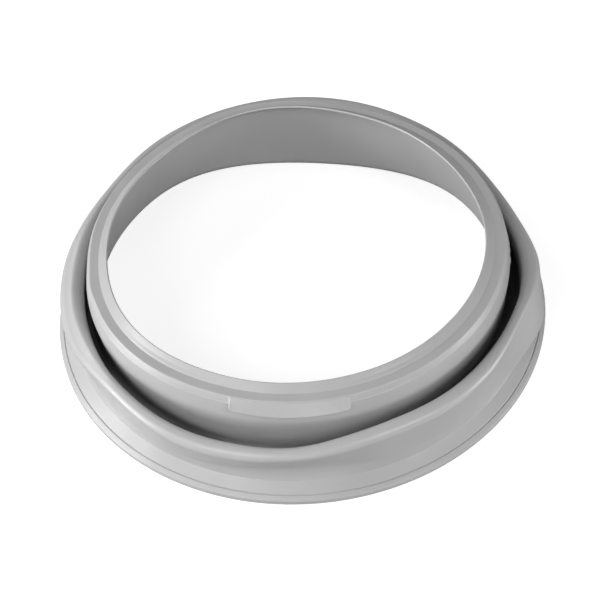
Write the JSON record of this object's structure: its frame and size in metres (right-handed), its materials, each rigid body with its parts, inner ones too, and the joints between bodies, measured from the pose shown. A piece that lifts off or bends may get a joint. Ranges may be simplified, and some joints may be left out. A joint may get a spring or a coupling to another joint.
{
  "type": "washing machine door seal",
  "caption": "Round moulded rubber door seal with a glass lip, a flat shelf and rim, a deep bellows fold with a wider pocket, and a grooved mounting flange.",
  "frame": {"origin": "on the ring's axis, in the plane of the large flange's foot, which the seal lies on", "axes": "+Z along the ring's axis, up towards the glass lip; -Y towards the tab on the rim (six o'clock in the machine); +X to the right when seen from the tab"},
  "size_m": [0.38, 0.38, 0.0785],
  "materials": {
    "seal_rubber": "smooth satin light grey moulded rubber"
  },
  "bodies": {
    "root": {"door_seal": "seal_rubber"}
  },
  "joints": []
}
